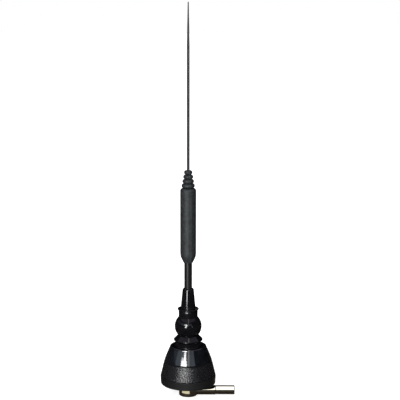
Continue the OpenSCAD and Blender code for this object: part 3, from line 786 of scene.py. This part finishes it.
@dataclass(frozen=True)
class Mast:
    """Tapered foot, rod, coil cover with its ribs, and the whip."""

    # Foot: flange, cone, crown, and the holes for stud and rod
    flange: float = 1.9
    foot_low: float = 5.93
    foot_high: float = 4.47
    crown: float = 1.2
    stud: float = 3.04
    stud_depth: float = 9.6
    rod_hole: float = 3.2
    rod_depth: float = 6.4
    # Cover's foot: radius, rise and rounding, then set-back, rise and rounding
    foot: tuple[Triple, ...] = ((3.75, 0.0, 0.25), (5.4, 3.4, 3.0))
    foot_top: tuple[Triple, ...] = ((0.2, 5.4, 4.0), (0.0, 8.0, 4.0))
    cover_crown: float = 2.4
    # Ribs: count, pitch, gap beside each, least radius and its growth, and rounding
    ribs: int = 4
    rib_pitch: float = 3.55
    rib_gap: float = 0.1
    rib_least: float = 3.3
    rib_growth: float = 0.65
    rib_round: float = 1.58
    rib_round_share: float = 0.47
    # Core between the ribs: radius 1 mm under the shoulder, and its loss for each mm up
    core: float = 3.52
    core_loss: float = 0.0985
    # Cover's inside: holes for whip, ferrule and coil, and the heights of their steps
    whip_hole: float = 1.15
    ferrule_hole: float = 2.45
    coil_room: float = 4.55
    ferrule_top: float = 0.75
    coil_top: float = 9.75
    coil_foot: float = 5.35
    # Whip: length of its taper and radius of its tip
    taper: float = 34.0
    tip: float = 0.4

    def mast_foot(self) -> None:
        """Turn the foot: a small flange, a slender cone and a rounded crown, bored at both ends."""
        size = Span.of("mast_foot")
        low, top = size.low, size.high
        inner, outer = low + self.stud_depth, top - self.rod_depth
        p = Profile().to(0, inner).to(self.stud, inner).to(self.stud, low)
        p.to(size.radius, low, 0.3).to(size.radius, low + self.flange, 0.35)
        p.to(self.foot_low, low + self.flange + 0.02, 0.2).to(self.foot_high, top, self.crown)
        p.to(self.rod_hole, top, 0.03).to(self.rod_hole, outer).to(0, outer)
        obj = turned("Mast_foot_plated", p.points(False), False)
        place(obj, Body.MAST, "black_metal", "mast_foot")

    def rod(self) -> None:
        """Turn the rod between foot and cover."""
        size = Span.of("lower_rod")
        p = Profile().to(0, size.low).to(size.radius, size.low, 0.3)
        p.to(size.radius, size.high, 0.3).to(0, size.high)
        obj = turned("Satin_rod", p.points(False), False)
        place(obj, Body.MAST, "satin_rod", "lower_rod")

    def cover(self) -> None:
        """Turn the cover: a plain body under a stack of ribs that shrink upwards, hollow inside."""
        size = Span.of("coil_cover")
        low, top = size.low, size.high
        shoulder = top - self.ribs * self.rib_pitch
        p = Profile().to(self.rod_hole, low, 0.1)
        for radius, rise, fillet in self.foot:
            p.to(radius, low + rise, fillet)
        for inwards, rise, fillet in self.foot_top:
            p.to(size.radius - inwards, low + rise, fillet)
        p.to(size.radius, shoulder, self.cover_crown)
        for i in range(self.ribs - 1, -1, -1):
            r = self.rib_least + self.rib_growth * i
            edge = min(self.rib_round, self.rib_round_share * r)
            z = top - (i + 1) * self.rib_pitch + self.rib_gap
            core = self.core - (z - shoulder + 1) * self.core_loss
            p.to(core, z - self.rib_gap).to(core, z).to(r, z, edge)
            p.to(r, z + self.rib_pitch - 2 * self.rib_gap, edge)
        ferrule_z, coil_z = shoulder - self.ferrule_top, shoulder - self.coil_top
        foot_z = low + self.coil_foot
        p.to(self.whip_hole, top, 0.1).to(self.whip_hole, ferrule_z)
        p.to(self.ferrule_hole, ferrule_z).to(self.ferrule_hole, coil_z)
        p.to(self.coil_room, coil_z).to(self.coil_room, foot_z).to(self.rod_hole, foot_z)
        obj = turned("Coil_cover_moulding", p.points(steps=6))
        place(obj, Body.MAST, "matt_cover", "coil_cover")

    def whip(self) -> None:
        """Turn the whip: a straight wire whose last stretch tapers to a rounded tip."""
        size = Span.of("whip")
        p = Profile().to(0, size.low).to(size.radius, size.low, 0.1)
        p.to(size.radius, size.high - self.taper, 20.0).to(self.tip, size.high, 0.36)
        obj = turned("Coated_whip_wire", p.to(0, size.high).points(False), False, AROUND_THIN)
        place(obj, Body.MAST, "coated_whip", "whip", SHARP_TIP)

    def build(self) -> None:
        """Build the mast from its foot up."""
        self.mast_foot()
        self.rod()
        self.cover()
        self.whip()


@dataclass(frozen=True)
class Connector:
    """Upright body, arm with its flat, cable sleeve, and the threaded neck above them."""

    # Upright: bores, and drops from its top to the snap ring's groove and the shelf
    neck_bore: float = 5.28
    ring_bore: float = 5.85
    ring_from: float = 0.5
    ring_to: float = 1.5
    shelf: float = 2.05
    hollow: float = 3.6
    cap_bore: float = 5.45
    cap_depth: float = 1.35
    # Arm: radius, its height over the underside, start, reach, bore, spigot and stem
    arm: float = 3.95
    arm_lift: float = 0.15
    arm_start: float = 3.8
    arm_reach: float = 22.5
    arm_bore: float = 1.5
    spigot: float = 2.7
    spigot_reach: float = 3.0
    stem: float = 1.95
    stem_reach: float = 10.5
    # Sleeve: radius, bore, mouth, gap at the arm, length, depth of mouth and lead-in
    sleeve_radius: float = 3.7
    sleeve_bore: float = 2.75
    sleeve_mouth: float = 3.1
    sleeve_gap: float = 0.05
    sleeve_length: float = 15.5
    mouth_depth: float = 4.0
    lead_in: float = 1.0
    # Neck: plain lower end with the snap ring's groove, then the thread
    neck_plain: float = 5.2
    neck_groove: float = 4.7
    groove_from: float = -4.55
    groove_to: float = -3.65
    thread_foot: float = -2.8
    pitch: float = 0.75
    thread: float = 0.4
    rows_a_turn: int = 8

    @property
    def axis(self) -> float:
        """Height of the arm's axis."""
        return Span.of("connector_body").low + self.arm + self.arm_lift

    def body(self) -> None:
        """Turn the upright and the arm. The arm's top is cut flat, level with the upright's."""
        size = Span.of("connector_body")
        low, top, out = size.low, size.high, size.radius
        ring_high, ring_low = top - self.ring_from, top - self.ring_to
        p = Profile().to(self.cap_bore, low, 0.1).to(out, low, 0.7).to(out, top, 0.7)
        p.to(self.neck_bore, top, 0.1).to(self.neck_bore, ring_high).to(self.ring_bore, ring_high)
        p.to(self.ring_bore, ring_low).to(self.neck_bore, ring_low)
        p.to(self.neck_bore, top - self.shelf).to(self.hollow, top - self.shelf)
        p.to(self.hollow, low + self.cap_depth).to(self.cap_bore, low + self.cap_depth)
        upright = turned("Upright", p.points())
        reach = self.arm_reach
        spigot_end, stem_end = reach + self.spigot_reach, reach + self.stem_reach
        q = Profile().to(self.arm_bore, self.arm_start).to(self.arm, self.arm_start)
        q.to(self.arm, reach, 0.35).to(self.spigot, reach).to(self.spigot, spigot_end)
        q.to(self.stem, spigot_end, 0.2).to(self.stem, stem_end, 0.15).to(self.arm_bore, stem_end)
        arm = along_arm(turned("Arm", q.points()), self.axis)
        points = read_points(arm)
        points[:, 2] = np.minimum(points[:, 2], top * MM)
        move_points(arm, points)
        obj = join("Connector_body_nickel", upright, arm)
        place(obj, Body.CONNECTOR, "nickel_plate", "connector_body")

    def sleeve(self) -> None:
        """Turn the cable sleeve and lay it along the arm."""
        near = self.arm_reach + self.sleeve_gap
        far = near + self.sleeve_length
        mouth_end = far - self.mouth_depth
        p = Profile().to(self.sleeve_bore, near).to(self.sleeve_radius, near, 0.2)
        p.to(self.sleeve_radius, far, 0.5).to(self.sleeve_mouth, far)
        p.to(self.sleeve_mouth, mouth_end).to(self.sleeve_bore, mouth_end - self.lead_in)
        obj = along_arm(turned("Cable_sleeve_nickel", p.points()), self.axis)
        place(obj, Body.CONNECTOR, "nickel_plate", "cable_sleeve")

    def neck(self) -> None:
        """Turn the neck and cut its thread.

        The thread takes depth * (1 - triangle(height / pitch - angle / turn)) off the radius.
        """
        size = Span.of("connector_neck")
        rows = np.arange(self.thread_foot, size.high, self.pitch / self.rows_a_turn)
        wall = np.stack([np.full(len(rows), size.radius), rows], axis=-1)
        lower = np.array([
            [self.hollow, size.low], [self.neck_plain, size.low],
            [self.neck_plain, self.groove_from], [self.neck_groove, self.groove_from],
            [self.neck_groove, self.groove_to], [self.neck_plain, self.groove_to],
            [self.neck_plain, self.thread_foot],
        ])
        upper = np.array([[self.hollow, size.high]])
        obj = turned("Threaded_neck", np.vstack([lower, wall, upper]), around=AROUND_NECK)
        x, y, z = read_points(obj).T
        r = np.hypot(x, y)
        turn = np.arctan2(y, x) / (2 * math.pi)
        wave = np.abs(2 * ((z / MM / self.pitch - turn) % 1.0) - 1)
        outside = r > (size.radius - 0.1) * MM
        cut = np.where(outside, 1 - self.thread * MM * (1 - wave) / r, 1.0)
        move_points(obj, np.stack([x * cut, y * cut, z], axis=-1))
        place(obj, Body.BASE, "nickel_plate", "connector_neck", SHARP_THREAD)

    def build(self) -> None:
        """Build the connector's turned pieces."""
        self.body()
        self.sleeve()
        self.neck()


@functools.cache
def material_of(slot: str) -> bpy.types.Material:
    """Give a slot's material, made on its first use.

    Args:
        slot: the record's material slot.

    Returns:
        The material.
    """
    return FINISHES[slot].material()


@dataclass(frozen=True)
class Lamp:
    """A rectangular softbox that faces the antenna's middle.

    Azimuth is in degrees to the right of the camera and elevation in degrees above the level.
    Distance, width and height are in metres, and the power is in watts.
    """

    name: str
    azimuth: float
    elevation: float
    distance: float
    size: Pair
    power: float
    in_gloss: bool = True

    def hang(self) -> None:
        """Hang the lamp."""
        data = bpy.data.lights.new(self.name, "AREA")
        data.shape = "RECTANGLE"
        data.size, data.size_y = self.size
        data.energy = self.power
        obj = bpy.data.objects.new(self.name, data)
        a, e = math.radians(self.azimuth), math.radians(self.elevation)
        way = Vector((math.sin(a) * math.cos(e), -math.cos(a) * math.cos(e), math.sin(e)))
        obj.location = Vector((0, 0, LAMPS_AIM)) + self.distance * way
        obj.rotation_euler = (-way).to_track_quat("-Z", "Y").to_euler()
        obj.visible_glossy = self.in_gloss
        bpy.context.scene.collection.objects.link(obj)


LAMPS_AIM = 0.1
LAMPS = (
    # Together these make the slanting highlight that ball, collar and cone mirror.
    Lamp("Key", -13, 11, 1.0, (0.14, 0.16), 2.2),
    Lamp("Middle key", -20, 3.5, 1.0, (0.15, 0.13), 1.1),
    Lamp("Upper key", -21, 16.5, 1.0, (0.5, 0.13), 2.9),
    Lamp("Key tip", -17.5, 22.5, 1.0, (0.17, 0.13), 0.95),
    # This gives the mast foot, which leans the other way, its thin line.
    Lamp("Low key", -20, -4, 0.6, (0.15, 0.08), 0.85),
    # The ball's second, faint spot.
    Lamp("Fill", 34, 0, 0.85, (0.05, 0.06), 0.08),
    Lamp("Top", 0, 84, 0.9, (0.7, 0.7), 4.0, in_gloss=False),
)


@dataclass(frozen=True)
class Studio:
    """Camera, world, floor and the cards that gloss mirrors, in metres and degrees.

    A turn is counted in degrees to the right of the camera.
    """

    # Camera, with its focal length in pixels for an image IMAGE_WIDTH wide
    distance: float = 0.968
    elevation: float = 10.6
    aim: Triple = (0.00907, 0.0, 0.15206)
    focal_pixels: float = 1214.5
    sensor_mm: float = 36.0
    roll: float = -0.11
    # World's brightness for what is neither seen nor mirrored
    world_level: float = 0.35
    # Floor: half its side, its drop, its glow near the part and where that fades to white
    floor_half: float = 6.0
    floor_drop: float = 0.0002
    floor_glow: float = 0.7
    floor_fade: Pair = (0.1, 0.45)
    # Dark surround: heights, reach and half its turn
    card_low: float = -0.009
    card_high: float = 1.5
    card_reach: float = 1.7
    shade: float = 179.9
    # Panels: reach, turn of the grey one, start of the side one, and heights
    panel_reach: float = 1.2
    panel: Pair = (-66.0, 35.0)
    side_from: float = -115.0
    panel_heights: Pair = (0.36, 0.7)
    # Table's drop, and how far paper and cloth lie above it
    table_drop: float = 0.00005
    sheet_lift: float = 0.00002
    # White strip over the sleeve: turn about +X from the front upwards, and span along X
    strip_turn: Pair = (14.0, 100.0)
    strip_along: Pair = (0.015, 0.1)
    # Points along a card's turn, and across it
    columns: int = 49
    rows: int = 5

    def camera(self) -> None:
        """Aim the camera."""
        data = bpy.data.cameras.new("Camera")
        data.sensor_fit = "HORIZONTAL"
        data.sensor_width = self.sensor_mm
        data.lens = self.focal_pixels / IMAGE_WIDTH * self.sensor_mm
        data.clip_start = 0.01
        obj = bpy.data.objects.new("Camera", data)
        tilt = math.radians(self.elevation)
        back = Vector((0, -math.cos(tilt), math.sin(tilt)))
        obj.location = Vector(self.aim) + self.distance * back
        obj.rotation_euler = (math.pi / 2 - tilt, math.radians(self.roll), 0)
        bpy.context.scene.collection.objects.link(obj)
        bpy.context.scene.camera = obj

    def world(self) -> None:
        """Make a world that is white to the camera, gloss and glass, and dimmer as light."""
        world = bpy.data.worlds.new("Studio")
        bpy.context.scene.world = world
        world.use_nodes = True
        graph = Graph(world.node_tree)
        rays = graph.add("ShaderNodeLightPath").outputs
        seen = rays["Is Camera Ray"]
        for kind in ("Is Glossy Ray", "Is Transmission Ray"):
            either = {"operation": "MAXIMUM"}
            seen = graph.add("ShaderNodeMath", either, {0: seen, 1: rays[kind]}).outputs[0]
        range_to = {"To Min": self.world_level, "To Max": 1.0}
        level = graph.add("ShaderNodeMapRange", range_to, {"Value": seen}).outputs[0]
        white = {"Color": (1, 1, 1, 1)}
        back = graph.add("ShaderNodeBackground", white, {"Strength": level}).outputs[0]
        graph.add("ShaderNodeOutputWorld", links={"Surface": back})

    def floor(self) -> None:
        """Lay white paper that catches the shadow near the part and fades to plain white."""
        half, z = self.floor_half, CAD_BOX[0].z - self.floor_drop
        grid = np.array([[-half, -half, z], [half, -half, z], [half, half, z], [-half, half, z]])
        floor = make_mesh("Floor", grid, np.array([[0, 1, 2, 3]]))
        paper = Shader("White paper")
        far = {"operation": "LENGTH"}
        away = paper.add("ShaderNodeVectorMath", far, {0: paper.place}).outputs["Value"]
        seen = paper.add("ShaderNodeLightPath").outputs["Is Camera Ray"]
        fade = paper.ramp(away, self.floor_glow, 1.0, self.floor_fade)
        times = {"operation": "MULTIPLY"}
        glow = paper.add("ShaderNodeMath", times, {0: fade, 1: seen}).outputs[0]
        paper.feed(Base_Color=linear("#e4e4e4"), Roughness=0.9, Specular_IOR_Level=0.0,
                   Emission_Color=(1, 1, 1, 1), Emission_Strength=glow)
        floor.data.materials.append(paper.material)

    @staticmethod
    def card(name: str, points: np.ndarray, colour: str, level: float = 1.0) -> None:
        """Hang a glowing card that only reflections see, as a photographer shades a glossy object;
        what it shows in gloss is a painted reflection, and it lights nothing.

        Args:
            name: the card's name.
            points: a grid of positions in metres, rows by columns by three.
            colour: hex colour that the card shows.
            level: how bright the card is, with 1 for its own colour.
        """
        rows, columns = points.shape[:2]
        i, j = np.meshgrid(np.arange(rows - 1), np.arange(columns - 1), indexing="ij")
        corner = (i * columns + j).ravel()
        quads = np.stack([corner, corner + 1, corner + columns + 1, corner + columns], axis=-1)
        obj = make_mesh(name, points.reshape(-1, 3), quads)
        reflection_glow = Shader(name + " felt")
        reflection_glow.feed(Base_Color=(0, 0, 0, 1), Roughness=1.0, Emission_Color=linear(colour),
                  Emission_Strength=level)
        obj.data.materials.append(reflection_glow.material)
        obj.visible_camera = obj.visible_diffuse = obj.visible_shadow = False
        obj.visible_transmission = obj.visible_volume_scatter = False

    def grid(self, reach: Pair, turn: Pair, heights: Pair) -> np.ndarray:
        """Give the points of a card that is turned about the axis: a wall or a level sheet.

        Args:
            reach: distance from the axis of its first and last row, in metres.
            turn: where it starts and ends.
            heights: height of its first and last row, in metres.

        Returns:
            Rows by columns by three.
        """
        angle = np.radians(np.linspace(*turn, self.columns) - 90)
        radius = np.linspace(*reach, self.rows)[:, None]
        height = np.linspace(*heights, self.rows)[:, None].repeat(self.columns, 1)
        return np.stack([radius * np.cos(angle), radius * np.sin(angle), height], axis=-1)

    def strip(self) -> np.ndarray:
        """Give the points of a strip bent about the sleeve's direction at 1 m from the axis."""
        over = np.radians(np.linspace(*self.strip_turn, self.columns))[:, None].repeat(self.rows, 1)
        along = np.linspace(*self.strip_along, self.rows)[None].repeat(self.columns, 0)
        return np.stack([along, -np.cos(over), np.sin(over)], axis=-1)

    def cards(self) -> None:
        """Hang the cards around, above and under the antenna."""
        far, whole = (self.card_reach, self.card_reach), (-180, 180)
        near, disc = (self.panel_reach, self.panel_reach), (0, self.card_reach)
        surround = self.grid(far, (-self.shade, self.shade), (self.card_low, self.card_high))
        self.card("Dark surround", surround, "#0e0e10")
        # Glowing panels paint the cone's bluish-grey reflections beside its highlight.
        self.card("Grey panel", self.grid(near, self.panel, self.panel_heights), "#bccbd8", 1.1)
        side = self.side_from, self.panel[0]
        self.card("Side panel", self.grid(near, side, self.panel_heights), "#bccbd8", 0.35)
        roof = (self.card_high - 0.001,) * 2
        self.card("Ceiling", self.grid(disc, whole, roof), "#a39daa")
        # The connector's underside mirrors a brown table, with paper and a grey cloth on it:
        # glowing
        #         cards that paint these reflections and light nothing.
        table = (CAD_BOX[0].z - self.table_drop,) * 2
        above = (table[0] + self.sheet_lift,) * 2
        self.card("Table", self.grid(disc, whole, table), "#241d16")
        self.card("Paper", self.grid((0.016, 0.027), (-66, 14), above), "#f2edd8")
        self.card("Cloth", self.grid((0.02, 0.06), (94, 130), above), "#938a78")
        # The glowing strip paints the white band along the sleeve's top.
        self.card("White strip", self.strip(), "#ffffff", 2.3)

    def build(self) -> None:
        """Set up the camera, the surroundings and the lamps."""
        self.camera()
        self.world()
        self.floor()
        self.cards()
        for lamp in LAMPS:
            lamp.hang()


def main() -> None:
    """Build the pieces in order."""
    logging.basicConfig(level=logging.INFO, format="%(name)s: %(message)s")
    bpy.context.scene.view_settings.view_transform = "Standard"
    for maker in (Studio(), Base(), Swivel(), Mast(), Connector()):
        maker.build()
    slots = {part["node"]: part["material_slot"] for part in frame["record"]["subparts"]}
    for node, obj in frame["nodes"].items():
        obj.data.materials.clear()
        obj.data.materials.append(material_of(slots[node]))


if __name__ == "__main__":
    main()
